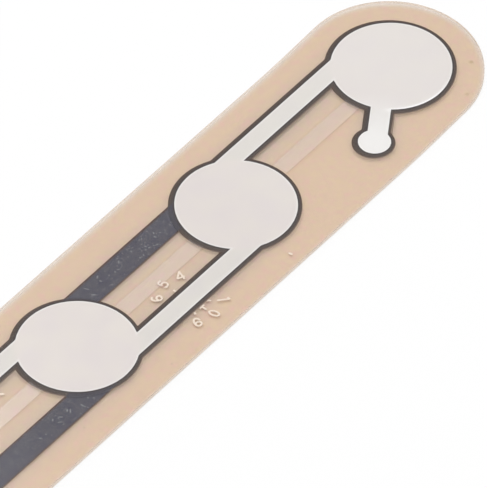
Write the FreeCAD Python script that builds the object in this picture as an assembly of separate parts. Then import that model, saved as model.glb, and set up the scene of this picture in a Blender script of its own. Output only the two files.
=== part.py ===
import FreeCAD, Part
import math
import os

# Force sensing strip: two printed polyester films laminated face to face.
# Units are millimetres. The strip lies flat with its rear face at Z = 0.
# +X runs towards the rounded tip, +Z is the pressing side.
# The origin is the middle of the rear face's bounding rectangle.

# Outline of the laminate. The rounded end was cut a little off the middle of the straight head.
strip_width = 19.2
tip_run_on = 0.10
tip_lean = 0.26
lean_length = 8.0
lean_bend_radius = 150.0
head_run_on = 10.5
tail_length = 16.5
tail_width = 7.6
shoulder_radius = 2.0
tail_root_radius = 2.0
tail_end_radius = 0.5

# Layer thicknesses, from the rear face up
liner_thickness = 0.11
rear_adhesive_thickness = 0.05
film_thickness = 0.125
spacer_thickness = 0.15
silver_thickness = 0.012
carbon_thickness = 0.018

# Cells in a row along the strip
cell_count = 4
cell_pitch = 25.4
cell_opening_radius = 5.5
vent_width = 1.8
tail_vent_width = 1.0

# Conductor prints
upper_pad_radius = 6.25
lower_pad_radius = 5.4
upper_trace_width = 2.08
upper_trace_offset = 4.4
upper_trace_skew = -0.08
lower_trace_width = 2.02
lower_trace_offset = 4.27
hidden_link_offset = 4.7
hidden_link_width = 1.6
carbon_margin = 0.55

# Contact lands at the end of the tail, on the pitch of crimped connectors
land_pitch = 2.54
land_width = 1.9
land_length = 6.0
tail_trace_width = 1.3
land_setback = 0.8
carbon_to_land_gap = 0.6

# End tap: a small round pad on a short neck, placed from the first pad's centre
tap_centre = (-9.61, -5.36)
tap_radius = 1.69
tap_neck_root = (-3.93, -1.96)
tap_neck_end = (-9.28, -5.38)
tap_neck_width = 2.08

# Registration of each printed or cut layer against the outline, as the sheet came out
upper_silver_shift = (0.40, 0.40)
upper_carbon_shift = (0.21, 0.37)
lower_print_shift = (0.0, -0.20)
spacer_shift = (0.0, 0.10)

# Places worked out from the sizes above, with Y = 0 on the middle line of the straight head
lean_angle = math.atan2(tip_lean, lean_length)
tip_radius = strip_width / 2 * math.cos(lean_angle)
overall_length = tip_radius + tip_run_on + (cell_count - 1) * cell_pitch + head_run_on + tail_length
tip_x = overall_length / 2
tip_centre_x = tip_x - tip_radius
lean_start_x = tip_centre_x - lean_length
tail_end_x = -overall_length / 2
head_end_x = tail_end_x + tail_length
first_cell_x = tip_centre_x - tip_run_on
cell_places = [first_cell_x - i * cell_pitch for i in range(cell_count)]
overall_width = strip_width / 2 + tip_lean + tip_radius

liner_z = 0.0
rear_adhesive_z = liner_z + liner_thickness
bottom_film_z = rear_adhesive_z + rear_adhesive_thickness
spacer_z = bottom_film_z + film_thickness
top_film_z = spacer_z + spacer_thickness
print_thickness = silver_thickness + carbon_thickness


def rounded_outline(corners):
    """A closed wire through the corners, each turned by a tangent arc of its own radius."""
    turns = []
    for i, (corner, radius) in enumerate(corners):
        towards_last = (corners[i - 1][0] - corner).normalize()
        towards_next = (corners[(i + 1) % len(corners)][0] - corner).normalize()
        inwards = (towards_last + towards_next).normalize()
        half_angle = towards_last.getAngle(towards_next) / 2
        setback = radius / math.tan(half_angle)
        start = corner + towards_last * setback
        middle = corner + inwards * (radius / math.sin(half_angle) - radius)
        end = corner + towards_next * setback
        turns.append((start, middle, end))
    edges = []
    for (start, middle, end), following in zip(turns, turns[1:] + turns[:1]):
        edges.append(Part.Arc(start, middle, end).toShape())
        if end.distanceToPoint(following[0]) > 1e-6:
            edges.append(Part.LineSegment(end, following[0]).toShape())
    return Part.Wire(edges)


def layer(low_z, thickness):
    """A sheet with the strip's full outline: rounded tip, straight head, shoulders and tail.

    Over the last stretch before the tip both long edges lean the same way, towards the tip's centre.
    """
    half_head = strip_width / 2
    half_tail = tail_width / 2
    tip_corner_y = tip_lean + tip_radius * math.tan(lean_angle)
    corners = [
        (FreeCAD.Vector(tip_x, tip_corner_y + half_head, low_z), tip_radius),
        (FreeCAD.Vector(lean_start_x, half_head, low_z), lean_bend_radius),
        (FreeCAD.Vector(head_end_x, half_head, low_z), shoulder_radius),
        (FreeCAD.Vector(head_end_x, half_tail, low_z), tail_root_radius),
        (FreeCAD.Vector(tail_end_x, half_tail, low_z), tail_end_radius),
        (FreeCAD.Vector(tail_end_x, -half_tail, low_z), tail_end_radius),
        (FreeCAD.Vector(head_end_x, -half_tail, low_z), tail_root_radius),
        (FreeCAD.Vector(head_end_x, -half_head, low_z), shoulder_radius),
        (FreeCAD.Vector(lean_start_x, -half_head, low_z), lean_bend_radius),
        (FreeCAD.Vector(tip_x, tip_corner_y - half_head, low_z), tip_radius),
    ]
    return Part.Face(rounded_outline(corners)).extrude(FreeCAD.Vector(0, 0, thickness))


def disc(x, y, radius, low_z, height):
    """A round patch of a layer."""
    return Part.makeCylinder(radius, height, FreeCAD.Vector(x, y, low_z))


def band(start, end, width, low_z, height):
    """A straight patch of a layer, of the given width, from one plan point to another."""
    run = FreeCAD.Vector(end[0] - start[0], end[1] - start[1], 0)
    patch = Part.makeBox(run.Length, width, height, FreeCAD.Vector(0, -width / 2, 0))
    turn = FreeCAD.Rotation(FreeCAD.Vector(1, 0, 0), run)
    patch.Placement = FreeCAD.Placement(FreeCAD.Vector(start[0], start[1], low_z), turn)
    return patch


def joined(patches):
    """The patches of one layer as one solid."""
    return patches[0].fuse(patches[1:]).removeSplitter().Solids[0]


def network(pad_radius, links, tail_y, tap, shift, grow, low_z, height):
    """One printed conductor: round pads, the straight links between them and the run down the tail.

    links holds a (y, width) pair for each gap between two pads. grow widens the whole pattern,
    which is how the carbon overprint follows the silver. The carbon stops short of the contact land.
    """
    shift_x, shift_y = shift
    patches = [disc(x + shift_x, shift_y, pad_radius + grow, low_z, height) for x in cell_places]
    for i, (y, width) in enumerate(links):
        start = (cell_places[i] + shift_x, y + shift_y)
        end = (cell_places[i + 1] + shift_x, y + shift_y)
        patches.append(band(start, end, width + 2 * grow, low_z, height))

    last_pad = (cell_places[-1] + shift_x, tail_y + shift_y)
    land_end = (tail_end_x + land_setback, tail_y + shift_y)
    land_start = (land_end[0] + land_length, land_end[1])
    if grow:
        carbon_end = (land_start[0] + carbon_to_land_gap, land_start[1])
        patches.append(band(last_pad, carbon_end, tail_trace_width + 2 * grow, low_z, height))
    else:
        patches.append(band(last_pad, land_start, tail_trace_width, low_z, height))
        patches.append(band(land_start, land_end, land_width, low_z, height))

    if tap:
        first_x = cell_places[0] + shift_x
        neck_root = (first_x + tap_neck_root[0], shift_y + tap_neck_root[1])
        neck_end = (first_x + tap_neck_end[0], shift_y + tap_neck_end[1])
        patches.append(band(neck_root, neck_end, tap_neck_width + 2 * grow, low_z, height))
        tap_x = first_x + tap_centre[0]
        tap_y = shift_y + tap_centre[1]
        patches.append(disc(tap_x, tap_y, tap_radius + grow, low_z, height))
    return joined(patches)


def upper_network(shift, grow, low_z, height):
    """The print on the top film: its links change sides from gap to gap, starting on +Y."""
    sides = [(-1) ** i for i in range(cell_count - 1)]
    links = [(upper_trace_offset * side + upper_trace_skew, upper_trace_width) for side in sides]
    return network(upper_pad_radius, links, land_pitch / 2, True, shift, grow, low_z, height)


def lower_network(grow, low_z, height):
    """The print on the bottom film: its links take the side that the upper print leaves free.

    The first one is narrower and lies hidden under the upper print's first link.
    """
    links = [(lower_trace_offset * (-1) ** (i + 1), lower_trace_width) for i in range(cell_count - 1)]
    links[0] = (hidden_link_offset, hidden_link_width)
    return network(lower_pad_radius, links, -land_pitch / 2, False, lower_print_shift, grow, low_z, height)


def spacer(upper_print, lower_print):
    """The adhesive layer between the films, with a window at each cell and a vent down the middle.

    The vent joins the windows and opens at the end of the tail. The layer flows round both prints.
    """
    shift_x, shift_y = spacer_shift
    cutters = [disc(x + shift_x, shift_y, cell_opening_radius, spacer_z, spacer_thickness) for x in cell_places]
    first_cell = (cell_places[0] + shift_x, shift_y)
    vent_turn = (head_end_x, shift_y)
    vent_mouth = (tail_end_x, shift_y)
    cutters.append(band(first_cell, vent_turn, vent_width, spacer_z, spacer_thickness))
    cutters.append(band(vent_turn, vent_mouth, tail_vent_width, spacer_z, spacer_thickness))
    return layer(spacer_z, spacer_thickness).cut(cutters + upper_print + lower_print)


def build():
    """Every piece of the laminate, from the rear face up, as node name and solid.

    They are built about the head's middle line, then moved so that the origin is mid-width overall.
    """
    bottom_silver = lower_network(0, spacer_z, silver_thickness)
    bottom_carbon = lower_network(carbon_margin, spacer_z, print_thickness).cut(bottom_silver)
    silver_z = top_film_z - silver_thickness
    top_silver = upper_network(upper_silver_shift, 0, silver_z, silver_thickness)
    carbon_z = top_film_z - print_thickness
    top_carbon = upper_network(upper_carbon_shift, carbon_margin, carbon_z, print_thickness).cut(top_silver)
    pieces = {
        "release_liner": layer(liner_z, liner_thickness),
        "rear_adhesive": layer(rear_adhesive_z, rear_adhesive_thickness),
        "bottom_film": layer(bottom_film_z, film_thickness),
        "bottom_silver_print": bottom_silver,
        "bottom_carbon_print": bottom_carbon,
        "spacer_adhesive": spacer([top_silver, top_carbon], [bottom_silver, bottom_carbon]),
        "top_carbon_print": top_carbon,
        "top_silver_print": top_silver,
        "top_film": layer(top_film_z, film_thickness),
    }
    for shape in pieces.values():
        shape.translate(FreeCAD.Vector(0, (strip_width - overall_width) / 2, 0))
    return pieces


os.makedirs("parts", exist_ok=True)
for node, shape in build().items():
    print(node, "solids", len(shape.Solids), "valid", shape.isValid(), "volume", round(shape.Volume, 3))
    shape.exportStep("parts/" + node + ".step")
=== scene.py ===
import math
import random

import bmesh
import bpy
from mathutils import Matrix, Vector


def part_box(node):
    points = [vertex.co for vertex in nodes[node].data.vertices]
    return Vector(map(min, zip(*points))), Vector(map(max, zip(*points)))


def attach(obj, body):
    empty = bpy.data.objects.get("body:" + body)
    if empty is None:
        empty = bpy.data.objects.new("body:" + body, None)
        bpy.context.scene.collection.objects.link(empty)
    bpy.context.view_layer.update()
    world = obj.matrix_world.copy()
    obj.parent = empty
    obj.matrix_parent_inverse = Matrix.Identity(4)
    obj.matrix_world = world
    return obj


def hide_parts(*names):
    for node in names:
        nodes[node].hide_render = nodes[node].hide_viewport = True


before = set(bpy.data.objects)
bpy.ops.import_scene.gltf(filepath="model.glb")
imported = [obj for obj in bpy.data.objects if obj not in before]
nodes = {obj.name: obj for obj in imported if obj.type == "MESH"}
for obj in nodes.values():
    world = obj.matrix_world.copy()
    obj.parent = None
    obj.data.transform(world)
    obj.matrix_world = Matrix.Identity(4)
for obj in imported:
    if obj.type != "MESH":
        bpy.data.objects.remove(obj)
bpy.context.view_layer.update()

# The frame is in metres and +Z is the pressing side. Sizes here are millimetres until they are placed.
mm = 0.001
no_shift = Vector((0.0, 0.0))

# A face is taken as flat when the upward part of its normal is past this, and as a wall if not
flat_face_limit = 0.5

# Sizes of the strip, its vent and its prints. The vent, the prints' middles, the tap and the tail's
# run are placed from the pads' centres.
strip_width = 19.2
lean_length = 8.0
tail_length = 16.5
tail_width = 7.6
vent_width = 1.8
tail_vent_width = 1.0
vent_from_pads = -0.30
pad_count = 4
pad_radius = 6.25
pad_pitch = 25.4
lower_print_from_pads = -0.60
tap_from_pad = Vector((-9.61, -5.36))
tap_neck_root = Vector((-3.93, -1.96))
tap_radius = 1.69
tail_run_from_pad = -5.0
carbon_margin = 0.55
carbon_from_silver = Vector((-0.19, -0.03))
carbon_edge_radius = pad_radius + carbon_margin

# Straight links: how far off their row's middle line they are, and half as wide with the carbon
upper_link_y = 4.40
upper_link_skew = -0.08
silver_link_half_width = 1.04
upper_link_half_width = silver_link_half_width + carbon_margin
lower_link_y = 4.27
lower_silver_half_width = 1.01
lower_link_half_width = lower_silver_half_width + carbon_margin

# Places in the frame: the outline, the first pad's centre, and the vent's and the lower print's lines
outline_low, outline_high = [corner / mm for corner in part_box("release_liner")]
head_y = outline_low.y + strip_width / 2
tip_y = outline_high.y - strip_width / 2
tip_centre_x = outline_high.x - strip_width / 2
head_end_x = outline_low.x + tail_length
silver_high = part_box("top_silver_print")[1] / mm
first_pad = Vector((silver_high.x - pad_radius, silver_high.y - pad_radius))
tail_run_x = first_pad.x - (pad_count - 1) * pad_pitch + tail_run_from_pad
vent_y = first_pad.y + vent_from_pads
lower_print_y = first_pad.y + lower_print_from_pads

# Camera, as the photograph was taken: long lens, looking down on the strip from its lower right side
image_long_side = 488
camera_focal_px = 11647.75
camera_sensor = 36.0
camera_azimuth_deg = -51.94
camera_elevation_deg = 45.97
camera_roll_deg = 0.70
camera_distance = 1171.4
camera_aim_from_pad = Vector((-29.272, -4.037))
camera_aim_z = 0.435

# Light: an even white surround, a broad lamp from the strip's +Y side and a weak one from its -Y side
surround_level = 0.80
key_level = 0.20
key_azimuth_deg = 160.0
key_elevation_deg = 52.0
key_distance = 900.0
key_size = 620.0
fill_level = 0.05
fill_azimuth_deg = 20.0
fill_elevation_deg = 60.0
fill_distance = 1000.0
fill_size = 800.0

# Floor: its size and how far below the strip it is, and its opening's lap under the strip
floor_size = 9000.0
floor_drop = 0.02
floor_lap = 0.2
floor_turn_deg = 3.0
floor_white_share = 0.8
floor_grey = 0.98
same_level = 0.001

# Paper: how far in the painted light from the cut edge reaches, how far out the painted shade beside the ink
# reaches, and where the painted shade between the links starts and ends
pale_edge_reach = 0.70
pale_near_edge_reach = 0.55
pale_edge_falloff = 1.6
pale_side_blend = 1.0
pale_tip_start = -6.0
ink_shade_reach = 1.7
ink_shade_falloff = 1.3
link_shade_start = -0.5
link_shade_end = 0.9

# Ink: how much light its shadow lets by, where it thins out, its zones and rims, and its painted sheen and
# highlights
ink_shadow_loss = 0.75
print_shadow_loss = 0.35
carbon_thinning = Vector((0.05, 0.09))
thin_edge_blur = 0.05
thin_edge_share = 0.8
thin_ink_tone = (158, 138, 122)
carbon_spread_zone = (0.08, 0.30)
carbon_rim_zone = (-0.25, -0.05)
over_lower_ink_blur = 0.2
lower_ink_rim = 0.30
lower_ink_rim_blur = 0.18
silver_link_zone = (6.1, 6.6)
silver_towards_tip_zone = (-27.0, -1.0)
silver_towards_tip_share = 0.35
silver_tap_zone = (1.0, 7.0)
silver_rim_highlight = 0.30
silver_rim_highlight_share = 0.60
rim_highlight_deg = -110.0
rim_highlight_sides = (0.76 * pad_radius, 0.96 * pad_radius)
rim_highlight_radii = (pad_radius - 0.36, pad_radius - 0.06)
rim_highlight_overrun = 0.5

# Clear layers: their faces, their gloss, the vent's seen edges with their painted shade, and the cut edges'
# frost with painted light on the +Y side
face_clearance = 0.002
tall_wall_share = 0.6
gloss_square_on = 0.04
vent_gloss = 1.6
vent_edge_blur = 0.20
vent_edge_lap = 0.04
vent_air_zone = (-0.10, 0.02)
far_side_frost = 0.28
far_side_zone = (-2.0, 4.0)

# Printed dial: ten digits with a tick each, raised on the bottom film
dial_from_pad = Vector((-38.63, -4.51))
dial_radius = 3.30
digit_height = 1.00
digit_width = 0.72
digit_turns_deg = [14.0, 13.0, 12.0, 12.0, 14.0, 6.0, 12.0, 12.0, 12.0, 12.0]
digit_shifts = {0: Vector((0.08, 0.11)), 1: Vector((0.16, -0.03)), 6: Vector((0.0, -0.11))}
tick_drop = 0.13
tick_inner_radius = 1.52
tick_outer_radius = 2.12
tick_bar_half = 0.34
stroke_radius = 0.12
stroke_lift = 0.06
stroke_flatness = 0.36

# Two small raised beads of the same pale ink, from the first pad's centre
bead_places = [(-27.26, -8.48), (-60.54, 1.80)]
bead_sizes = [(0.27, 0.14), (0.34, 0.15)]
bead_turns_deg = [100.0, 128.0]
bead_height = 0.05

# Pale specks caught on the lower ink, from the first pad's centre: x, y, length, turn
caught_specks = [
    (-56.66, -5.53, 0.75, 95.0),
    (-60.11, -4.43, 0.44, 38.0),
    (-59.28, -4.74, 0.60, 132.0),
    (-62.74, -5.03, 0.46, 130.0),
    (-55.51, -5.18, 0.26, 60.0),
    (-55.16, -5.68, 0.28, 60.0),
    (-58.00, -4.98, 0.66, 38.0),
    (-58.16, -4.70, 0.50, 38.0),
    (-59.80, -5.20, 0.60, 132.0),
    (-42.26, 3.92, 0.32, 95.0),
    (-42.02, 4.55, 0.44, 35.0),
    (-39.86, 3.56, 0.40, 130.0),
    (-39.08, 4.16, 0.50, 38.0),
    (-37.11, 4.12, 0.26, 60.0),
    (-36.72, 2.88, 0.36, 60.0),
    (-37.22, 2.90, 0.26, 120.0),
    (-35.66, 3.46, 0.40, 95.0),
    (-35.52, 3.06, 0.36, 150.0),
    (-35.11, 4.42, 0.36, 30.0),
    (-33.70, 4.02, 0.30, 50.0),
    (-34.02, 3.54, 0.44, 125.0),
    (-31.32, 3.56, 0.28, 60.0),
    (-31.76, 3.46, 0.22, 100.0),
    (-44.16, 3.27, 0.60, 130.0),
    (-44.02, 4.40, 0.70, 115.0),
]
caught_speck_half_width = 0.08
caught_speck_height = 0.012

# Smaller specks scattered over the two links that show: where they gather on each, and their sizes
scattered_speck_count = 120
scattered_speck_seed = 11
scattered_speck_reach = (-6.5, 7.5)
scattered_speck_crowds = {1: 5.0, 2: -2.0}
scattered_speck_half_band = 1.2
scattered_speck_half_lengths = (0.05, 0.13)
scattered_speck_half_widths = (0.04, 0.06)
scattered_speck_height = 0.010

# Two faint smudges on the paper, from the first pad's centre, with their strengths
smudge_places = [(5.86, -5.80, 0.85), (1.92, -8.29, 0.50)]
smudge_radius = 0.34


def colour(red, green, blue):
    """A colour given as it looks on a screen, 0 to 255 a channel, as Blender's linear values."""
    channels = []
    for value in (red, green, blue):
        share = value / 255
        channels.append(share / 12.92 if share <= 0.04045 else ((share + 0.055) / 1.055) ** 2.4)
    return (*channels, 1.0)


def darker(tone, share):
    """A linear colour brought down to a share of itself."""
    return (*[share * channel for channel in tone[:3]], 1.0)


white = colour(255, 255, 255)


def fill_input(tree, socket, value):
    """Links another node's output to an input, or sets the input to a plain value."""
    if isinstance(value, bpy.types.NodeSocket):
        tree.links.new(value, socket)
    else:
        socket.default_value = value


def node(tree, kind, inputs=None, **settings):
    """A shader node with its settings, and its inputs set to values or linked to outputs."""
    made = tree.nodes.new(kind)
    for name, value in settings.items():
        setattr(made, name, value)
    for name, value in (inputs or {}).items():
        fill_input(tree, made.inputs[name], value)
    return made


def maths(tree, operation, first, second=0.0):
    """The result of one sum on two numbers or outputs."""
    return node(tree, "ShaderNodeMath", {0: first, 1: second}, operation=operation).outputs[0]


def product(tree, *factors):
    """Numbers or outputs multiplied together."""
    result = factors[0]
    for factor in factors[1:]:
        result = maths(tree, "MULTIPLY", result, factor)
    return result


def new_material(name):
    """A material with an empty node tree, and that tree."""
    material = bpy.data.materials.new(name)
    material.use_nodes = True
    material.node_tree.nodes.clear()
    return material, material.node_tree


def show(tree, shader):
    """Makes a shader the material's surface."""
    node(tree, "ShaderNodeOutputMaterial", {"Surface": shader})


def mix_shaders(tree, share, first, second):
    """Two shaders mixed by a share."""
    return node(tree, "ShaderNodeMixShader", {0: share, 1: first, 2: second}).outputs[0]


def see_through(tree, tint=white):
    """A shader that only tints what is behind it."""
    return node(tree, "ShaderNodeBsdfTransparent", {"Color": tint}).outputs[0]


def split(tree, vector):
    """A vector's three parts."""
    return node(tree, "ShaderNodeSeparateXYZ", {"Vector": vector}).outputs


def place_in_strip(tree):
    """The point, its x and its y in the strip's own frame, in metres."""
    point = node(tree, "ShaderNodeTexCoord").outputs["Object"]
    parts = split(tree, point)
    return point, parts["X"], parts["Y"]


def ramp(tree, value, start, end, at_start, at_end):
    """A number that goes from one value to another while its input crosses a range, and stays there."""
    inputs = {"Value": value, "From Min": start, "From Max": end, "To Min": at_start, "To Max": at_end}
    return node(tree, "ShaderNodeMapRange", inputs).outputs["Result"]


def fade(tree, length, start, end, at_start=0.0, at_end=1.0):
    """A share that changes while a length in metres crosses a range given in millimetres."""
    return ramp(tree, length, start * mm, end * mm, at_start, at_end)


def plan_distance(tree, along, across, place=(0.0, 0.0)):
    """How far the point is from a plan place given in millimetres, in metres."""
    flat = node(tree, "ShaderNodeCombineXYZ", {"X": along, "Y": across}).outputs[0]
    target = (place[0] * mm, place[1] * mm, 0.0)
    apart = node(tree, "ShaderNodeVectorMath", {0: flat, 1: target}, operation="DISTANCE")
    return apart.outputs["Value"]


def past_band(tree, point, start, end, half_width):
    """How far the point is past the edge of a straight round-ended band, all seen in plan, in metres."""
    run = end - start
    own = node(tree, "ShaderNodeMapping", {
        "Vector": point,
        "Location": (start.x * mm, start.y * mm, 0.0),
        "Rotation": (0.0, 0.0, math.atan2(run.y, run.x)),
    }, vector_type="TEXTURE").outputs["Vector"]
    parts = split(tree, own)
    limits = {"Value": parts["X"], "Min": 0.0, "Max": run.length * mm}
    beside = node(tree, "ShaderNodeClamp", limits).outputs[0]
    off_end = maths(tree, "SUBTRACT", parts["X"], beside)
    return maths(tree, "SUBTRACT", plan_distance(tree, off_end, parts["Y"]), half_width * mm)


def nearest_band(tree, point, runs, half_width):
    """How far the point is past the nearest edge of several bands of one width, in metres."""
    nearest = 1.0
    for start, end in runs:
        nearest = maths(tree, "MINIMUM", past_band(tree, point, start, end, half_width), nearest)
    return nearest


def noise(tree, point, feature_mm, detail=2.0, roughness=0.5):
    """Cloudy noise with features of about the given size."""
    inputs = {"Vector": point, "Scale": 1 / (feature_mm * mm), "Detail": detail, "Roughness": roughness}
    return node(tree, "ShaderNodeTexNoise", inputs).outputs["Fac"]


def grain(tree, point, feature_mm, strength, height_mm):
    """A normal roughened by fine grain."""
    height = noise(tree, point, feature_mm, detail=3.0)
    inputs = {"Height": height, "Strength": strength, "Distance": height_mm * mm}
    return node(tree, "ShaderNodeBump", inputs).outputs["Normal"]


def specks(tree, point, spacing_mm, radius_mm, kept_share, stretch=(1.0, 1.0, 1.0), turn_deg=0.0):
    """1 inside small scattered flecks, 0 elsewhere: one fleck in each kept cell of a spaced grid."""
    mapping = {"Vector": point, "Rotation": (0.0, 0.0, math.radians(turn_deg)), "Scale": stretch}
    turned = node(tree, "ShaderNodeMapping", mapping).outputs["Vector"]
    grid = {"Vector": turned, "Scale": 1 / (spacing_mm * mm)}
    cells = node(tree, "ShaderNodeTexVoronoi", grid, voronoi_dimensions="2D")
    near = maths(tree, "LESS_THAN", cells.outputs["Distance"], radius_mm / spacing_mm)
    pick = node(tree, "ShaderNodeSeparateColor", {"Color": cells.outputs["Color"]}).outputs[0]
    return product(tree, near, maths(tree, "LESS_THAN", pick, kept_share))


def blend_colours(tree, share, stops):
    """A colour from a row of (position, colour) stops."""
    blend = node(tree, "ShaderNodeValToRGB", {"Fac": share})
    elements = blend.color_ramp.elements
    while len(elements) < len(stops):
        elements.new(0.5)
    for element, (position, value) in zip(elements, stops):
        element.position = position
        element.color = value
    return blend.outputs["Color"]


def mix_colours(tree, share, first, second, way="MIX"):
    """Two colours mixed by a share. The node keeps its colour sockets behind those of other types."""
    mixed = node(tree, "ShaderNodeMix", data_type="RGBA", blend_type=way)
    for place, value in {0: share, 6: first, 7: second}.items():
        fill_input(tree, mixed.inputs[place], value)
    return mixed.outputs[2]


def upper_runs():
    """The middle lines of the upper print's straight runs: the tap's neck, then the links."""
    runs = [(first_pad + tap_neck_root, first_pad + tap_from_pad)]
    for gap in range(pad_count - 1):
        y = first_pad.y + (-1) ** gap * upper_link_y + upper_link_skew
        near_x = first_pad.x - gap * pad_pitch
        runs.append((Vector((near_x, y)), Vector((near_x - pad_pitch, y))))
    return runs


def lower_runs(raised=0.0):
    """The middle lines of the lower print's links that show from above, moved towards +Y if asked."""
    runs = []
    for gap in range(1, pad_count - 1):
        y = lower_print_y - (-1) ** gap * lower_link_y + raised
        near_x = first_pad.x - gap * pad_pitch
        runs.append((Vector((near_x, y)), Vector((near_x - pad_pitch, y))))
    return runs


def from_nearest_pad(tree, along, across, row_y):
    """How far the point is from the nearest of the pads' places on a row, in metres."""
    off_first = maths(tree, "SUBTRACT", along, first_pad.x * mm)
    off_place = maths(tree, "PINGPONG", off_first, pad_pitch / 2 * mm)
    return plan_distance(tree, off_place, across, (0.0, row_y))


def past_upper_print(tree, point, shift=no_shift, spread=0.0):
    """How far the point is past the edge of the upper print's pattern, in metres: below 0 inside it.

    The silver has the pattern as it is. The carbon has it shifted a little and spread by its margin.
    """
    offset = (shift.x * mm, shift.y * mm, 0.0)
    own = node(tree, "ShaderNodeVectorMath", {0: point, 1: offset}, operation="SUBTRACT").outputs[0]
    parts = split(tree, own)
    from_pad = from_nearest_pad(tree, parts["X"], parts["Y"], first_pad.y)
    from_tap = plan_distance(tree, parts["X"], parts["Y"], first_pad + tap_from_pad)
    past_pad = maths(tree, "SUBTRACT", from_pad, pad_radius * mm)
    past_tap = maths(tree, "SUBTRACT", from_tap, tap_radius * mm)
    past_run = nearest_band(tree, own, upper_runs(), silver_link_half_width)
    nearest = maths(tree, "MINIMUM", maths(tree, "MINIMUM", past_pad, past_tap), past_run)
    return maths(tree, "SUBTRACT", nearest, spread * mm)


def off_tail(tree, along):
    """1 up to the last pad, 0 past it, where both prints run plainly down to the tail."""
    return maths(tree, "GREATER_THAN", along, tail_run_x * mm)


def thin_edge(tree, past_thin, along):
    """Where an ink's edge has thinned out, off the tail."""
    thin = fade(tree, past_thin, -thin_edge_blur, thin_edge_blur, 0.0, thin_edge_share)
    return product(tree, thin, off_tail(tree, along))


def edge_share(tree, along, across):
    """1 on the strip's outline, fading to 0 a little way in: painted light, where light comes in through the
    cut edge.

    The pale zone is wide on the far side and round the tip, and narrow along the near side.
    """
    lean_x = tip_centre_x - lean_length
    middle_y = ramp(tree, along, lean_x * mm, tip_centre_x * mm, head_y * mm, tip_y * mm)
    off_middle = maths(tree, "SUBTRACT", across, middle_y)
    past_tip_centre = maths(tree, "SUBTRACT", along, tip_centre_x * mm)
    beyond_tip_centre = maths(tree, "MAXIMUM", past_tip_centre, 0.0)
    from_spine = plan_distance(tree, beyond_tip_centre, off_middle)
    in_tail = maths(tree, "LESS_THAN", along, head_end_x * mm)
    narrowing = product(tree, in_tail, (strip_width - tail_width) / 2 * mm)
    from_core = maths(tree, "ADD", from_spine, narrowing)
    edge = strip_width / 2
    wide = fade(tree, from_core, edge - pale_edge_reach, edge)
    narrow = fade(tree, from_core, edge - pale_near_edge_reach, edge)
    far_side = fade(tree, off_middle, -pale_side_blend, pale_side_blend)
    round_tip = fade(tree, past_tip_centre, pale_tip_start, pale_side_blend)
    wide_there = product(tree, wide, maths(tree, "MAXIMUM", far_side, round_tip))
    return maths(tree, "POWER", maths(tree, "MAXIMUM", wide_there, narrow), pale_edge_falloff)


def between_links(tree, along, across):
    """1 in the strips of paper between the vent and a link, fading to 0 across the vent: where painted shade
    darkens the paper.
    """
    off_vent = maths(tree, "SUBTRACT", across, vent_y * mm)
    off_row = maths(tree, "SUBTRACT", across, first_pad.y * mm)
    above = fade(tree, off_vent, link_shade_start, link_shade_end)
    above = product(tree, above, maths(tree, "LESS_THAN", off_row, upper_link_y * mm))
    below = fade(tree, off_vent, -link_shade_start, -link_shade_end)
    below = product(tree, below, maths(tree, "GREATER_THAN", off_row, -upper_link_y * mm))
    past_second_pad = maths(tree, "LESS_THAN", along, (first_pad.x - pad_pitch) * mm)
    both = maths(tree, "ADD", above, product(tree, below, past_second_pad))
    past_first_pad = maths(tree, "LESS_THAN", along, first_pad.x * mm)
    before_tail = maths(tree, "GREATER_THAN", along, head_end_x * mm)
    return product(tree, both, past_first_pad, before_tail)


def upper_face_tone(tree, point, along, across, paper):
    """The paper's tone on its upper face: two smudges, and painted shade beside the ink and between the
    links.
    """
    for x, y, strength in smudge_places:
        away = plan_distance(tree, along, across, (first_pad.x + x, first_pad.y + y))
        smudge = fade(tree, away, 0.0, smudge_radius, strength, 0.0)
        paper = mix_colours(tree, smudge, paper, colour(186, 158, 122))
    inked = [(upper_runs(), upper_link_half_width), (lower_runs(), lower_link_half_width)]
    # Painted shade: the paper darker beside the ink, fading out a little way from its edge.
    for runs, half_width in inked:
        away = nearest_band(tree, point, runs, half_width)
        beside = fade(tree, away, 0.0, ink_shade_reach, 1.0, 0.0)
        halo = maths(tree, "POWER", beside, ink_shade_falloff)
        paper = mix_colours(tree, halo, paper, (0.90, 0.93, 0.99, 1.0), way="MULTIPLY")
    # Painted shade: the paper darker between the vent and the links.
    shaded = between_links(tree, along, across)
    return mix_colours(tree, shaded, paper, (0.955, 0.980, 1.0, 1.0), way="MULTIPLY")


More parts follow.
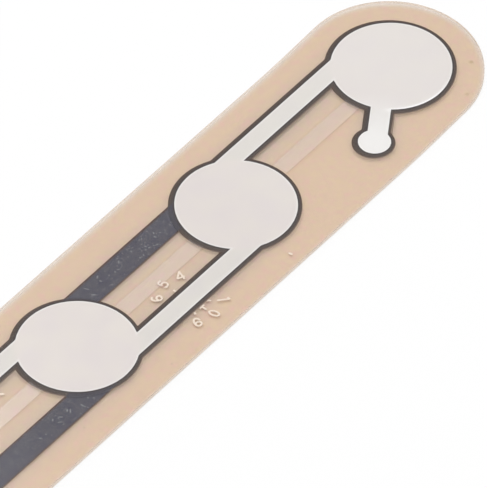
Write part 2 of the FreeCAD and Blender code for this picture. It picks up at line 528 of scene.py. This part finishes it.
def liner_material():
    """Tan silicone-coated paper: faint mottling, fine fibre, a few dark specks, painted light along the cut
    edge, and painted shade beside the ink and between the links.
    """
    material, tree = new_material("liner_paper")
    point, along, across = place_in_strip(tree)
    clouds = noise(tree, point, feature_mm=0.9, detail=4.0, roughness=0.6)
    paper = blend_colours(tree, clouds, [
        (0.32, colour(231, 196, 181)),
        (0.50, colour(227, 201, 177)),
        (0.68, colour(229, 204, 174)),
    ])
    fibre = noise(tree, point, feature_mm=0.24, detail=4.0, roughness=0.65)
    fibre_tone = blend_colours(tree, fibre, [(0.30, colour(245, 245, 245)), (0.70, white)])
    paper = mix_colours(tree, 1.0, paper, fibre_tone, way="MULTIPLY")
    dirt = specks(tree, point, spacing_mm=6.5, radius_mm=0.10, kept_share=0.25)
    paper = mix_colours(tree, product(tree, dirt, 0.30), paper, colour(150, 132, 116))
    # Painted light: the paper paler along the cut edge, where light comes in through it.
    paper = mix_colours(tree, edge_share(tree, along, across), paper, colour(229, 219, 211))

    upright = split(tree, node(tree, "ShaderNodeNewGeometry").outputs["Normal"])["Z"]
    upper_face = maths(tree, "GREATER_THAN", upright, flat_face_limit)
    cut_edge = maths(tree, "LESS_THAN", maths(tree, "ABSOLUTE", upright), flat_face_limit)
    marked = upper_face_tone(tree, point, along, across, paper)
    paper = mix_colours(tree, upper_face, paper, marked)
    paper = mix_colours(tree, cut_edge, paper, colour(228, 218, 207))
    surface = node(tree, "ShaderNodeBsdfPrincipled", {
        "Base Color": paper,
        "Roughness": 0.55,
        "Specular IOR Level": 0.25,
        "Normal": grain(tree, point, feature_mm=0.2, strength=0.15, height_mm=0.004),
    })
    show(tree, surface.outputs[0])
    return material


def fading_past(tree, shader, shadow_loss):
    """An ink that is solid to the eye but lets part of the light by, so that its shadow is faint.

    The clear layers and the paper under it carry light sideways in below the real ink's edge.
    """
    thin = mix_shaders(tree, shadow_loss, shader, see_through(tree))
    path = node(tree, "ShaderNodeLightPath").outputs
    for kind in ("Is Shadow Ray", "Is Diffuse Ray"):
        shader = mix_shaders(tree, path[kind], shader, thin)
    return shader


def rim_highlight(tree, along, across):
    """1 along the first pad's rim towards -Y, where a highlight is painted, fading to 0 round it."""
    turn = math.radians(rim_highlight_deg)
    off_first = maths(tree, "SUBTRACT", along, first_pad.x * mm)
    off_row = maths(tree, "SUBTRACT", across, first_pad.y * mm)
    towards_x = product(tree, off_first, math.cos(turn))
    towards_y = product(tree, off_row, math.sin(turn))
    highlight_side = fade(tree, maths(tree, "ADD", towards_x, towards_y), *rim_highlight_sides)
    from_first = plan_distance(tree, off_first, off_row)
    to_rim = fade(tree, from_first, *rim_highlight_radii)
    off_rim = fade(tree, from_first, pad_radius, pad_radius + rim_highlight_overrun, 1.0, 0.0)
    return product(tree, highlight_side, to_rim, off_rim)


def silver_material(name, base):
    """Screen-printed silver ink: pale, satin and finely grained, thinner on the links, with a painted sheen
    that is brighter towards the tip and brightest at the tap.

    Its edge has a painted highlight, strongest on the first pad's side towards -Y.
    """
    material, tree = new_material(name)
    point, along, across = place_in_strip(tree)
    fine = noise(tree, point, feature_mm=0.09, detail=3.0, roughness=0.7)
    ink = blend_colours(tree, fine, [(0.30, darker(base, 0.955)), (0.70, base)])
    patchy = noise(tree, point, feature_mm=3.0, detail=3.0)
    patch_stops = [(0.35, colour(252, 251, 253)), (0.65, colour(255, 255, 253))]
    ink = mix_colours(tree, 1.0, ink, blend_colours(tree, patchy, patch_stops), way="MULTIPLY")

    from_pad = from_nearest_pad(tree, along, across, first_pad.y)
    on_link = fade(tree, from_pad, *silver_link_zone)
    ink = mix_colours(tree, on_link, ink, colour(250, 253, 252), way="MULTIPLY")
    # Painted sheen: the ink paler towards the tip and brightest near the tap.
    off_first = maths(tree, "SUBTRACT", along, first_pad.x * mm)
    towards_tip = fade(tree, off_first, *silver_towards_tip_zone, 0.0, silver_towards_tip_share)
    ink = mix_colours(tree, towards_tip, ink, colour(229, 226, 223))
    from_tap = plan_distance(tree, along, across, first_pad + tap_from_pad)
    near_tap = fade(tree, from_tap, *silver_tap_zone, 1.0, 0.0)
    ink = mix_colours(tree, near_tap, ink, colour(231, 229, 227))

    # Painted highlight: the ink brighter along its own edge.
    rim = fade(tree, past_upper_print(tree, point), -silver_rim_highlight, 0.0, 0.0, silver_rim_highlight_share)
    ink = mix_colours(tree, rim, ink, colour(234, 232, 230))
    # Painted highlight along the first pad's rim towards -Y.
    ink = mix_colours(tree, rim_highlight(tree, along, across), ink, colour(249, 247, 247))
    surface = node(tree, "ShaderNodeBsdfPrincipled", {
        "Base Color": ink,
        "Metallic": 0.40,
        "Roughness": 0.50,
        "Normal": grain(tree, point, feature_mm=0.12, strength=0.25, height_mm=0.003),
    })
    show(tree, fading_past(tree, surface.outputs[0], ink_shadow_loss))
    return material


def upper_carbon_material():
    """Matt black resistive ink: darkest on the silver's edge, browner and thinner along its own.

    It thins out most along its -Y edges, and a little on its -X sides. Over the lower ink it is slate.
    """
    material, tree = new_material("upper_carbon")
    point, along, _ = place_in_strip(tree)
    fine = noise(tree, point, feature_mm=0.12, detail=3.0, roughness=0.7)
    ink = blend_colours(tree, fine, [(0.3, colour(58, 50, 50)), (0.7, colour(69, 60, 59))])

    over_strip = nearest_band(tree, point, lower_runs(), lower_link_half_width)
    over_paper = fade(tree, over_strip, -over_lower_ink_blur, 0.0)
    past_edge = past_upper_print(tree, point, carbon_from_silver, carbon_margin)
    past_thin = past_upper_print(tree, point, carbon_from_silver + carbon_thinning, carbon_margin)
    nearer = maths(tree, "SUBTRACT", past_thin, past_edge)
    near_side = fade(tree, nearer, -carbon_thinning.y, carbon_thinning.y)
    paper_tone = mix_colours(tree, near_side, colour(72, 58, 50), colour(81, 69, 63))
    outer_tone = mix_colours(tree, over_paper, colour(68, 64, 73), paper_tone)
    spread_out = fade(tree, past_upper_print(tree, point), *carbon_spread_zone)
    ink = mix_colours(tree, spread_out, ink, outer_tone)

    at_edge = fade(tree, past_edge, *carbon_rim_zone)
    at_edge = product(tree, at_edge, over_paper, off_tail(tree, along))
    ink = mix_colours(tree, at_edge, ink, colour(82, 62, 50))
    thin_tone = mix_colours(tree, over_paper, colour(80, 79, 90), colour(*thin_ink_tone))
    ink = mix_colours(tree, thin_edge(tree, past_thin, along), ink, thin_tone)
    surface = node(tree, "ShaderNodeBsdfPrincipled", {
        "Base Color": ink,
        "Roughness": 0.6,
        "Specular IOR Level": 0.08,
        "Normal": grain(tree, point, feature_mm=0.12, strength=0.3, height_mm=0.004),
    })
    show(tree, fading_past(tree, surface.outputs[0], ink_shadow_loss))
    return material


def lower_carbon_material():
    """The lower ink, seen through the adhesive: slate grey, with a browner thin rim and pale flecks."""
    material, tree = new_material("lower_carbon")
    point, along, across = place_in_strip(tree)
    clouds = noise(tree, point, feature_mm=0.7, detail=5.0, roughness=0.75)
    ink = blend_colours(tree, clouds, [
        (0.32, colour(70, 68, 88)),
        (0.50, colour(81, 80, 92)),
        (0.68, colour(92, 89, 99)),
    ])

    off_middle = maths(tree, "ABSOLUTE", maths(tree, "SUBTRACT", across, lower_print_y * mm))
    off_link = maths(tree, "ABSOLUTE", maths(tree, "SUBTRACT", off_middle, lower_link_y * mm))
    rim_start = lower_link_half_width - lower_ink_rim
    rim = fade(tree, off_link, rim_start, rim_start + lower_ink_rim_blur)
    ink = mix_colours(tree, product(tree, rim, off_tail(tree, along)), ink, colour(86, 62, 52))
    past_thin = nearest_band(tree, point, lower_runs(carbon_thinning.y), lower_link_half_width)
    ink = mix_colours(tree, thin_edge(tree, past_thin, along), ink, colour(*thin_ink_tone))

    dots = specks(tree, point, spacing_mm=0.45, radius_mm=0.07, kept_share=0.35)
    long_and_turned = {"stretch": (0.35, 1.0, 1.0), "turn_deg": 35.0}
    dashes = specks(tree, point, spacing_mm=0.70, radius_mm=0.08, kept_share=0.35, **long_and_turned)
    flecks = product(tree, maths(tree, "MAXIMUM", dots, dashes), 0.30)
    ink = mix_colours(tree, flecks, ink, colour(126, 130, 140))
    surface = node(tree, "ShaderNodeBsdfPrincipled", {
        "Base Color": ink,
        "Roughness": 0.55,
        "Specular IOR Level": 0.08,
        "Normal": grain(tree, point, feature_mm=0.15, strength=0.3, height_mm=0.004),
    })
    show(tree, fading_past(tree, surface.outputs[0], ink_shadow_loss))
    return material


def clear_material(name, tint):
    """What a clear layer's flat inner face adds where it is glued to the next one: its tint alone."""
    material, tree = new_material(name)
    show(tree, see_through(tree, tint))
    return material


def gloss_share(tree):
    """How much a clear face mirrors: a little when seen square on, all of it at a grazing angle."""
    facing = node(tree, "ShaderNodeLayerWeight", {"Blend": 0.5}).outputs["Facing"]
    grazing = maths(tree, "POWER", facing, 5.0)
    return maths(tree, "ADD", product(tree, grazing, 1 - gloss_square_on), gloss_square_on)


def film_face_material():
    """The top film's outer face: clear, glossy, with a faint unevenness in its gloss."""
    material, tree = new_material("film_face")
    point, _, _ = place_in_strip(tree)
    unevenness = noise(tree, point, feature_mm=2.5, detail=4.0)
    mirror = node(tree, "ShaderNodeBsdfAnisotropic", {
        "Color": white,
        "Roughness": ramp(tree, unevenness, 0.3, 0.7, 0.05, 0.12),
        "Normal": grain(tree, point, feature_mm=1.8, strength=0.06, height_mm=0.01),
    })
    clear = see_through(tree, (0.985, 0.985, 0.985, 1.0))
    show(tree, mix_shaders(tree, gloss_share(tree), clear, mirror.outputs[0]))
    return material


def vent_face_material():
    """A film's inner face: it mirrors only along the vent, where air lies against it and not adhesive.

    A thin faint line of painted shade runs along both of the vent's edges, beside its cut walls.
    """
    material, tree = new_material("vent_face")
    _, along, across = place_in_strip(tree)
    seen_middle = (vent_y + vent_edge_lap) * mm
    seen_half_width = (vent_width / 2 + vent_edge_lap) * mm
    off_middle = maths(tree, "ABSOLUTE", maths(tree, "SUBTRACT", across, seen_middle))
    in_tail = maths(tree, "LESS_THAN", along, head_end_x * mm)
    narrowing = product(tree, in_tail, (vent_width - tail_vent_width) / 2 * mm)
    past_edge = maths(tree, "SUBTRACT", maths(tree, "ADD", off_middle, narrowing), seen_half_width)

    from_pad = from_nearest_pad(tree, along, across, vent_y)
    off_pads = maths(tree, "GREATER_THAN", from_pad, carbon_edge_radius * mm)
    past_first_pad = maths(tree, "LESS_THAN", along, first_pad.x * mm)
    bare = product(tree, off_pads, past_first_pad)
    beside_edge = fade(tree, maths(tree, "ABSOLUTE", past_edge), 0.0, vent_edge_blur, 1.0, 0.0)
    line = product(tree, beside_edge, bare)
    in_vent = product(tree, fade(tree, past_edge, *vent_air_zone, 1.0, 0.0), bare)

    tint = mix_colours(tree, in_vent, white, (1.0, 0.998, 1.0, 1.0))
    # Painted shade: a faint darker line along both of the vent's edges.
    tint = mix_colours(tree, line, tint, (0.982, 0.965, 0.957, 1.0), way="MULTIPLY")
    mirror = node(tree, "ShaderNodeBsdfAnisotropic", {"Color": white, "Roughness": 0.12})
    share = product(tree, gloss_share(tree), in_vent, vent_gloss)
    show(tree, mix_shaders(tree, share, see_through(tree, tint), mirror.outputs[0]))
    return material


def cut_edge_material(name, tone, frosted_share):
    """The die-cut edge of a clear layer: partly frosted by the blade, and palest on the +Y side, with
    painted light as if lit through from behind.

    The rest is clear from outside, and a mirror for what meets it flat enough from inside.
    """
    material, tree = new_material(name)
    point, _, across = place_in_strip(tree)
    blade = noise(tree, point, feature_mm=1.5)
    edge = blend_colours(tree, blade, [(0.35, darker(tone, 0.97)), (0.65, tone)])
    off_middle = maths(tree, "SUBTRACT", across, head_y * mm)
    far_side = fade(tree, off_middle, *far_side_zone)
    # Painted light: the +Y side's edge paler, as if lit through from behind.
    edge = mix_colours(tree, far_side, edge, colour(253, 251, 248))
    lit_in_front = node(tree, "ShaderNodeBsdfDiffuse", {"Color": edge}).outputs[0]
    lit_from_behind = node(tree, "ShaderNodeBsdfTranslucent", {"Color": edge}).outputs[0]
    frost = mix_shaders(tree, 0.5, lit_in_front, lit_from_behind)

    clear = see_through(tree, (0.97, 0.97, 0.96, 1.0))
    gloss = {"Color": (0.98, 0.97, 0.96, 1.0), "Roughness": 0.20}
    mirror = node(tree, "ShaderNodeBsdfAnisotropic", gloss).outputs[0]
    bounced = node(tree, "ShaderNodeFresnel", {"IOR": 1.5}).outputs[0]
    smooth = mix_shaders(tree, bounced, clear, mirror)
    frosted = ramp(tree, far_side, 0.0, 1.0, frosted_share, far_side_frost)
    mixed = mix_shaders(tree, frosted, smooth, frost)
    shadow = node(tree, "ShaderNodeLightPath").outputs["Is Shadow Ray"]
    show(tree, mix_shaders(tree, shadow, mixed, clear))
    return material


def vent_wall_material():
    """The vent's walls: soft adhesive cut by the same blade, which shows only as a faint warm line."""
    material, tree = new_material("vent_wall")
    point, _, _ = place_in_strip(tree)
    uneven = noise(tree, point, feature_mm=1.0)
    tone = blend_colours(tree, uneven, [(0.35, colour(208, 182, 164)), (0.65, colour(216, 190, 172))])
    frost = node(tree, "ShaderNodeBsdfDiffuse", {"Color": tone}).outputs[0]
    show(tree, mix_shaders(tree, 0.12, see_through(tree), frost))
    return material


def pale_ink_material():
    """The dial's pale cream ink."""
    material, tree = new_material("pale_ink")
    point, _, _ = place_in_strip(tree)
    fine = noise(tree, point, feature_mm=0.1)
    ink = blend_colours(tree, fine, [(0.3, colour(244, 228, 213)), (0.7, colour(250, 236, 223))])
    surface = node(tree, "ShaderNodeBsdfPrincipled", {"Base Color": ink, "Roughness": 0.4})
    show(tree, fading_past(tree, surface.outputs[0], print_shadow_loss))
    return material


def speck_material():
    """Pale bluish lint and bubbles caught between the films."""
    material, tree = new_material("caught_specks")
    point, _, _ = place_in_strip(tree)
    uneven = noise(tree, point, feature_mm=0.35)
    lint = blend_colours(tree, uneven, [(0.35, colour(96, 95, 104)), (0.65, colour(132, 134, 141))])
    surface = node(tree, "ShaderNodeBsdfPrincipled", {"Base Color": lint, "Roughness": 0.6})
    show(tree, surface.outputs[0])
    return material


def dress(node_name, material):
    """Gives a CAD node its material."""
    nodes[node_name].material_slots[0].material = material


def add_object(name, data):
    """An object placed in the scene."""
    made = bpy.data.objects.new(name, data)
    bpy.context.scene.collection.objects.link(made)
    return made


def add_piece(name, mesh):
    """A visible piece of the strip."""
    piece = add_object(name, mesh)
    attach(piece, "root")
    return piece


def stand_in(node_name, upper, lower, wall, vent_wall=None):
    """A clear layer with its own material on its upper faces, lower faces, cut edges and vent walls.

    It is the node's own form. Its flat faces stand a hair inside it, so that none lies in the same
    plane as the ink or layer that it touches.
    """
    mesh = nodes[node_name].data.copy()
    low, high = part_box(node_name)
    middle = (low.z + high.z) / 2
    tall = (high.z - low.z) * tall_wall_share
    mesh.materials.clear()
    for material in (upper, lower, wall, vent_wall or wall):
        mesh.materials.append(material)
    on_upper, on_lower, on_wall, on_vent_wall = range(4)
    for face in mesh.polygons:
        heights = [mesh.vertices[i].co.z for i in face.vertices]
        beside_vent = abs(face.center.y / mm - vent_y) < vent_width
        if abs(face.normal.z) > flat_face_limit:
            face.material_index = on_upper if face.normal.z > 0 else on_lower
        elif max(heights) - min(heights) <= tall:
            face.material_index = on_lower
        elif beside_vent and abs(face.normal.y) > flat_face_limit:
            face.material_index = on_vent_wall
        else:
            face.material_index = on_wall
    for vertex in mesh.vertices:
        vertex.co.z += face_clearance * mm * (1 if vertex.co.z < middle else -1)
    piece = add_piece(node_name + "_clear", mesh)
    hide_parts(node_name)


def arc(centre, radii, start_deg, end_deg, steps=14):
    """Points along part of an ellipse."""
    points = []
    for step in range(steps + 1):
        angle = math.radians(start_deg + (end_deg - start_deg) * step / steps)
        points.append((centre[0] + radii[0] * math.cos(angle), centre[1] + radii[1] * math.sin(angle)))
    return points


def digit_strokes(digit):
    """A digit's strokes in a box one high and one wide, centred on zero."""
    loop = arc((0.0, -0.24), (0.44, 0.27), 170, 530, 24)
    short_hook = arc((0.0, 0.02), (0.46, 0.52), 48, 200, 18) + loop
    long_hook = arc((0.0, 0.02), (0.46, 0.52), 12, 200, 18) + loop
    return {
        0: [arc((0.0, 0.0), (0.41, 0.54), 0, 360, 28)],
        1: [[(-0.34, 0.48), (0.03, 0.70)], [(0.0, 0.70), (0.0, -0.62)]],
        2: [arc((0.0, 0.22), (0.44, 0.28), 170, -35) + [(-0.46, -0.5), (0.46, -0.5)]],
        3: [arc((0.0, 0.25), (0.40, 0.25), 155, -90), arc((0.0, -0.23), (0.46, 0.27), 90, -155)],
        4: [
            [(0.56, -0.18), (-0.60, -0.18)],
            [(-0.60, -0.18), (0.28, 0.58)],
            [(0.28, 0.64), (0.28, -0.54)],
        ],
        5: [[(0.38, 0.5), (-0.34, 0.5), (-0.40, 0.06)] + arc((0.0, -0.18), (0.46, 0.32), 140, -150)],
        6: [short_hook],
        7: [[(-0.44, 0.5), (0.46, 0.5), (-0.14, -0.5)]],
        8: [arc((0.0, 0.26), (0.38, 0.24), 0, 360, 24), arc((0.0, -0.24), (0.46, 0.26), 0, 360, 24)],
        9: [[(-x, -y) for x, y in long_hook]],
    }[digit]


def dial_strokes():
    """Ten digits round a centre with their tops outward, a short tick inside each and a T at the 0."""
    middle = first_pad + dial_from_pad
    tick_middle = middle - Vector((0.0, tick_drop))
    strokes = []
    for digit in range(10):
        angle = math.radians(36 * digit - 90)
        outward = Vector((math.cos(angle), math.sin(angle)))
        sideways = Vector((outward.y, -outward.x))
        upright = angle + math.radians(digit_turns_deg[digit])
        digit_up = Vector((math.cos(upright), math.sin(upright))) * digit_height
        digit_side = Vector((math.sin(upright), -math.cos(upright))) * digit_width
        centre = middle + outward * dial_radius + digit_shifts.get(digit, no_shift)
        for line in digit_strokes(digit):
            placed = [centre + digit_side * x + digit_up * y for x, y in line]
            strokes.append([(point.x, point.y) for point in placed])
        inner = tick_middle + outward * tick_inner_radius
        outer = tick_middle + outward * tick_outer_radius
        strokes.append([tuple(inner), tuple(outer)])
        if digit == 0:
            bar = sideways * tick_bar_half
            strokes.append([tuple(inner - bar), tuple(inner + bar)])
    return strokes


def raised_strokes(name, strokes, material):
    """Raised round-edged strokes on the bottom film, from lists of plan points in millimetres."""
    curve = bpy.data.curves.new(name, "CURVE")
    curve.dimensions = "3D"
    curve.bevel_depth = stroke_radius * mm
    curve.bevel_resolution = 2
    curve.use_fill_caps = True
    for points in strokes:
        closed = len(points) > 3 and math.dist(points[0], points[-1]) < 1e-6
        kept = points[:-1] if closed else points
        line = curve.splines.new("POLY")
        line.points.add(len(kept) - 1)
        for target, (x, y) in zip(line.points, kept):
            target.co = (x * mm, y * mm, 0.0, 1.0)
        line.use_cyclic_u = closed
    drawn = add_object(name + "_line", curve)
    bpy.context.view_layer.update()
    mesh = bpy.data.meshes.new_from_object(drawn.evaluated_get(bpy.context.evaluated_depsgraph_get()))
    bpy.data.objects.remove(drawn)
    bpy.data.curves.remove(curve)
    film_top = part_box("bottom_film")[1].z
    for vertex in mesh.vertices:
        vertex.co.z = film_top + (vertex.co.z + stroke_lift * mm) * stroke_flatness
    mesh.materials.clear()
    mesh.materials.append(material)
    mesh.polygons.foreach_set("use_smooth", [True] * len(mesh.polygons))
    add_piece(name, mesh)


def lying_beads(name, beads, base_z, material):
    """Small flattened beads on a layer, each a place, half length, half width, height and turn."""
    ball = bmesh.new()
    bmesh.ops.create_uvsphere(ball, u_segments=14, v_segments=8, radius=1.0)
    ball_points = [vertex.co.copy() for vertex in ball.verts]
    ball_faces = [[vertex.index for vertex in face.verts] for face in ball.faces]
    ball.free()
    points = []
    faces = []
    for x, y, half_length, half_width, height, turn_deg in beads:
        size = Matrix.Diagonal((half_length * mm, half_width * mm, height / 2 * mm, 1.0))
        turn = Matrix.Rotation(math.radians(turn_deg), 4, "Z")
        place = Matrix.Translation((x * mm, y * mm, base_z + height / 2 * mm)) @ turn @ size
        first = len(points)
        points += [place @ point for point in ball_points]
        faces += [[first + index for index in face] for face in ball_faces]
    mesh = bpy.data.meshes.new(name)
    mesh.from_pydata(points, [], faces)
    mesh.materials.append(material)
    mesh.polygons.foreach_set("use_smooth", [True] * len(mesh.polygons))
    add_piece(name, mesh)


def ink_beads():
    """The two pale beads of ink that stand by themselves."""
    beads = []
    for (x, y), (half_length, half_width), turn in zip(bead_places, bead_sizes, bead_turns_deg):
        beads.append((first_pad.x + x, first_pad.y + y, half_length, half_width, bead_height, turn))
    return beads


def caught_beads():
    """The larger slivers on the lower ink, where they were seen."""
    beads = []
    for x, y, length, turn in caught_specks:
        size = (length / 2, caught_speck_half_width, caught_speck_height)
        beads.append((first_pad.x + x, first_pad.y + y, *size, turn))
    return beads


def scattered_beads():
    """Small slivers scattered over the lower ink."""
    beads = []
    chance = random.Random(scattered_speck_seed)
    for _ in range(scattered_speck_count):
        gap = chance.choice([1, 2])
        side = 1 if gap == 1 else -1
        off_middle = chance.triangular(*scattered_speck_reach, scattered_speck_crowds[gap])
        x = first_pad.x - pad_pitch * (gap + 0.5) + off_middle
        off_link = chance.uniform(-scattered_speck_half_band, scattered_speck_half_band)
        y = lower_print_y + side * lower_link_y + off_link
        half_length = chance.uniform(*scattered_speck_half_lengths)
        half_width = chance.uniform(*scattered_speck_half_widths)
        turn = chance.uniform(0.0, 180.0)
        beads.append((x, y, half_length, half_width, scattered_speck_height, turn))
    return beads


def direction_to(azimuth_deg, elevation_deg):
    """The way from the strip to something that stands at an angle round it and above it."""
    azimuth = math.radians(azimuth_deg)
    elevation = math.radians(elevation_deg)
    return Vector((
        math.sin(azimuth) * math.cos(elevation),
        -math.cos(azimuth) * math.cos(elevation),
        math.sin(elevation),
    ))


def add_camera():
    """The photograph's camera."""
    azimuth = math.radians(camera_azimuth_deg)
    roll = math.radians(camera_roll_deg)
    back = direction_to(camera_azimuth_deg, camera_elevation_deg)
    right = Vector((math.cos(azimuth), math.sin(azimuth), 0.0))
    up = back.cross(right)
    turned_right = right * math.cos(roll) + up * math.sin(roll)
    turned_up = up * math.cos(roll) - right * math.sin(roll)
    data = bpy.data.cameras.new("camera")
    data.sensor_width = camera_sensor
    data.lens = camera_sensor * camera_focal_px / image_long_side
    data.clip_start = 0.05
    data.clip_end = 50.0
    camera = add_object("camera", data)
    turn = Matrix((turned_right, turned_up, back)).transposed().to_4x4()
    aim = (first_pad + camera_aim_from_pad).to_3d() + Vector((0.0, 0.0, camera_aim_z))
    camera.matrix_world = Matrix.Translation((aim + back * camera_distance) * mm) @ turn
    bpy.context.scene.camera = camera


def add_lamp(name, level, azimuth_deg, elevation_deg, distance, size):
    """A square soft lamp aimed at the strip. Its level is the share of full white it gives a flat face."""
    direction = direction_to(azimuth_deg, elevation_deg)
    data = bpy.data.lights.new(name, "AREA")
    data.shape = "SQUARE"
    data.size = size * mm
    data.energy = level * (math.pi * distance * mm) ** 2 / math.sin(math.radians(elevation_deg))
    lamp = add_object(name, data)
    lamp.location = direction * distance * mm
    lamp.rotation_mode = "QUATERNION"
    lamp.rotation_quaternion = direction.to_track_quat("Z", "Y")
    lamp.visible_camera = False


def seen_directly(tree):
    """1 for rays that the camera sees straight, in a mirror or through glass, 0 for the rest."""
    path = node(tree, "ShaderNodeLightPath").outputs
    seen = maths(tree, "MAXIMUM", path["Is Camera Ray"], path["Is Glossy Ray"])
    return maths(tree, "MAXIMUM", seen, path["Is Transmission Ray"])


def add_surround():
    """A white surround that lights the strip at a plain level."""
    world = bpy.data.worlds.new("surround")
    bpy.context.scene.world = world
    world.use_nodes = True
    tree = world.node_tree
    tree.nodes.clear()
    lit = node(tree, "ShaderNodeBackground", {"Color": white, "Strength": surround_level}).outputs[0]
    seen = node(tree, "ShaderNodeBackground", {"Color": white, "Strength": 1.0}).outputs[0]
    node(tree, "ShaderNodeOutputWorld", {"Surface": mix_shaders(tree, seen_directly(tree), lit, seen)})


def floor_opening():
    """The strip's outline drawn in a little, in even turns: the floor is open inside these plan points."""
    outline = []
    low_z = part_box("release_liner")[0].z
    source = nodes["release_liner"]
    for vertex in source.data.vertices:
        corner = source.matrix_world @ vertex.co
        if abs(corner.z - low_z) < same_level * mm:
            outline.append(corner.xy)
    outline.sort(key=lambda corner: math.atan2(corner.y, corner.x))
    points = []
    for corner, following in zip(outline, outline[1:] + outline[:1]):
        steps = max(1, round(corner.angle(following) / math.radians(floor_turn_deg)))
        for step in range(steps):
            point = corner.lerp(following, step / steps)
            points.append(point * (1 - floor_lap * mm / point.length))
    return points


def floor_material():
    """Plain matt white, bright to the eye, and clear from below."""
    material, tree = new_material("floor_white")
    grey = (floor_grey, floor_grey, floor_grey, 1.0)
    matt = node(tree, "ShaderNodeBsdfDiffuse", {"Color": grey}).outputs[0]
    bright = node(tree, "ShaderNodeEmission", {"Color": white, "Strength": 1.0}).outputs[0]
    share = product(tree, seen_directly(tree), floor_white_share)
    top = mix_shaders(tree, share, matt, bright)
    below = node(tree, "ShaderNodeNewGeometry").outputs["Backfacing"]
    show(tree, mix_shaders(tree, below, top, see_through(tree)))
    return material


def add_floor():
    """A plain white floor just under the strip, clear from below so that the strip's back can be seen.

    It is open where the strip covers it, which lets light reach the back.
    """
    inner = floor_opening()
    outer = [point.normalized() * floor_size / 2 * mm for point in inner]
    count = len(inner)
    corners = [(point.x, point.y, -floor_drop * mm) for point in inner + outer]
    faces = [(i, i + count, (i + 1) % count + count, (i + 1) % count) for i in range(count)]
    mesh = bpy.data.meshes.new("floor")
    mesh.from_pydata(corners, [], faces)
    mesh.materials.append(floor_material())
    floor = add_object("floor", mesh)


def build_pieces():
    """Materials on the CAD nodes, the clear layers, and the raised print."""
    dress("release_liner", liner_material())
    dress("top_silver_print", silver_material("upper_silver", colour(219, 212, 208)))
    dress("bottom_silver_print", silver_material("lower_silver", colour(222, 216, 210)))
    dress("top_carbon_print", upper_carbon_material())
    dress("bottom_carbon_print", lower_carbon_material())

    clear = clear_material("clear_bond", white)
    tinted = clear_material("spacer_tint", (0.995, 0.985, 0.965, 1.0))
    vent = vent_face_material()
    top_edge = cut_edge_material("top_film_edge", colour(216, 203, 190), frosted_share=0.50)
    film_edge = cut_edge_material("film_edge", colour(238, 229, 220), frosted_share=0.60)
    glue_edge = cut_edge_material("adhesive_edge", colour(224, 212, 200), frosted_share=0.55)
    stand_in("top_film", film_face_material(), vent, top_edge)
    stand_in("spacer_adhesive", tinted, clear, glue_edge, vent_wall_material())
    stand_in("bottom_film", vent, clear, film_edge)
    stand_in("rear_adhesive", clear, clear, glue_edge)

    pale_ink = pale_ink_material()
    film_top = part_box("bottom_film")[1].z
    ink_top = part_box("bottom_carbon_print")[1].z
    speck_beads = caught_beads() + scattered_beads()
    raised_strokes("dial_print", dial_strokes(), pale_ink)
    lying_beads("ink_beads", ink_beads(), film_top, pale_ink)
    lying_beads("caught_specks", speck_beads, ink_top, speck_material())


add_camera()
add_surround()
add_lamp("key", key_level, key_azimuth_deg, key_elevation_deg, key_distance, key_size)
add_lamp("fill", fill_level, fill_azimuth_deg, fill_elevation_deg, fill_distance, fill_size)
add_floor()
build_pieces()
bpy.context.scene.view_settings.view_transform = "Standard"
bpy.context.scene.cycles.transparent_max_bounces = 32
